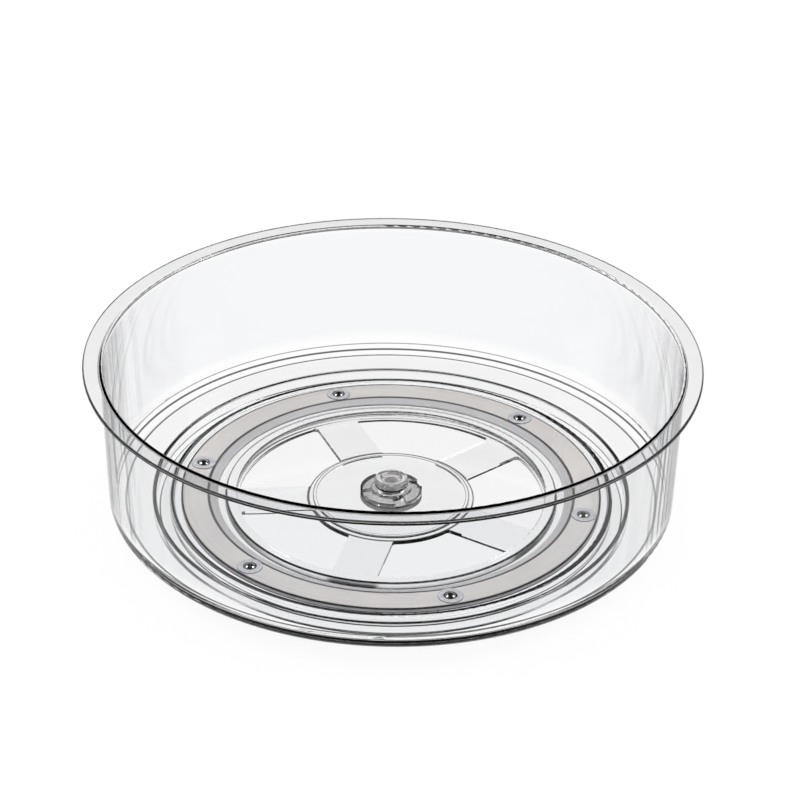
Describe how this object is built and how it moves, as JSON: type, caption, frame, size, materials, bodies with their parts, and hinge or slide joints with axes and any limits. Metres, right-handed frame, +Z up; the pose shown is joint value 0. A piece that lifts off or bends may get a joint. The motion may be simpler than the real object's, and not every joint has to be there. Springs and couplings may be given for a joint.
{
  "type": "lazy susan turntable",
  "caption": "Clear round bin with a flat flanged rim that spins on a ball race in a low spoked base, for storing jars and bottles.",
  "frame": {"origin": "on the turning axis, at the level of the table", "axes": "+Z up along the turning axis, -Y towards the viewer of the picture"},
  "size_m": [0.3, 0.3, 0.085],
  "materials": {
    "clear_tray": "clear, polished moulding",
    "clear_base": "clear, polished moulding",
    "smoky_hub": "translucent grey moulding",
    "ring": "satin pale warm grey",
    "cup": "translucent grey",
    "ball": "polished bearing steel"
  },
  "bodies": {
    "base": {"base": "clear_base", "pivot_hub": "smoky_hub"},
    "tray": {"tray": "clear_tray"},
    "ball_ring": {"ball_ring": "ring", "ball_cup_1": "cup", "ball_cup_2": "cup", "ball_cup_3": "cup", "ball_cup_4": "cup", "ball_cup_5": "cup", "ball_cup_6": "cup"},
    "ball_1": {"ball_1": "ball"},
    "ball_2": {"ball_2": "ball"},
    "ball_3": {"ball_3": "ball"},
    "ball_4": {"ball_4": "ball"},
    "ball_5": {"ball_5": "ball"},
    "ball_6": {"ball_6": "ball"}
  },
  "joints": [
    {"name": "tray_spin", "type": "hinge", "parent": "base", "child": "tray", "pos_m": [0, 0, 0.01089], "axis": [0, 0, 1], "continuous": true},
    {"name": "ring_spin", "type": "hinge", "parent": "base", "child": "ball_ring", "pos_m": [0, 0, 0.00549], "axis": [0, 0, 1], "continuous": true},
    {"name": "ball_1_roll", "type": "hinge", "parent": "ball_ring", "child": "ball_1", "pos_m": [0.06656, 0.07138, 0.00549], "axis": [0.682, 0.7314, 0], "continuous": true},
    {"name": "ball_2_roll", "type": "hinge", "parent": "ball_ring", "child": "ball_2", "pos_m": [-0.02854, 0.09334, 0.00549], "axis": [-0.2924, 0.9563, 0], "continuous": true},
    {"name": "ball_3_roll", "type": "hinge", "parent": "ball_ring", "child": "ball_3", "pos_m": [-0.0951, 0.02195, 0.00549], "axis": [-0.9744, 0.225, 0], "continuous": true},
    {"name": "ball_4_roll", "type": "hinge", "parent": "ball_ring", "child": "ball_4", "pos_m": [-0.06656, -0.07138, 0.00549], "axis": [-0.682, -0.7314, 0], "continuous": true},
    {"name": "ball_5_roll", "type": "hinge", "parent": "ball_ring", "child": "ball_5", "pos_m": [0.02854, -0.09334, 0.00549], "axis": [0.2924, -0.9563, 0], "continuous": true},
    {"name": "ball_6_roll", "type": "hinge", "parent": "ball_ring", "child": "ball_6", "pos_m": [0.0951, -0.02195, 0.00549], "axis": [0.9744, -0.225, 0], "continuous": true}
  ],
  "couplings": [
    {"joint": "ring_spin", "follows": "tray_spin", "ratio": 0.5},
    {"joint": "ball_1_roll", "follows": "tray_spin", "ratio": -15.37},
    {"joint": "ball_2_roll", "follows": "tray_spin", "ratio": -15.37},
    {"joint": "ball_3_roll", "follows": "tray_spin", "ratio": -15.37},
    {"joint": "ball_4_roll", "follows": "tray_spin", "ratio": -15.37},
    {"joint": "ball_5_roll", "follows": "tray_spin", "ratio": -15.37},
    {"joint": "ball_6_roll", "follows": "tray_spin", "ratio": -15.37}
  ]
}
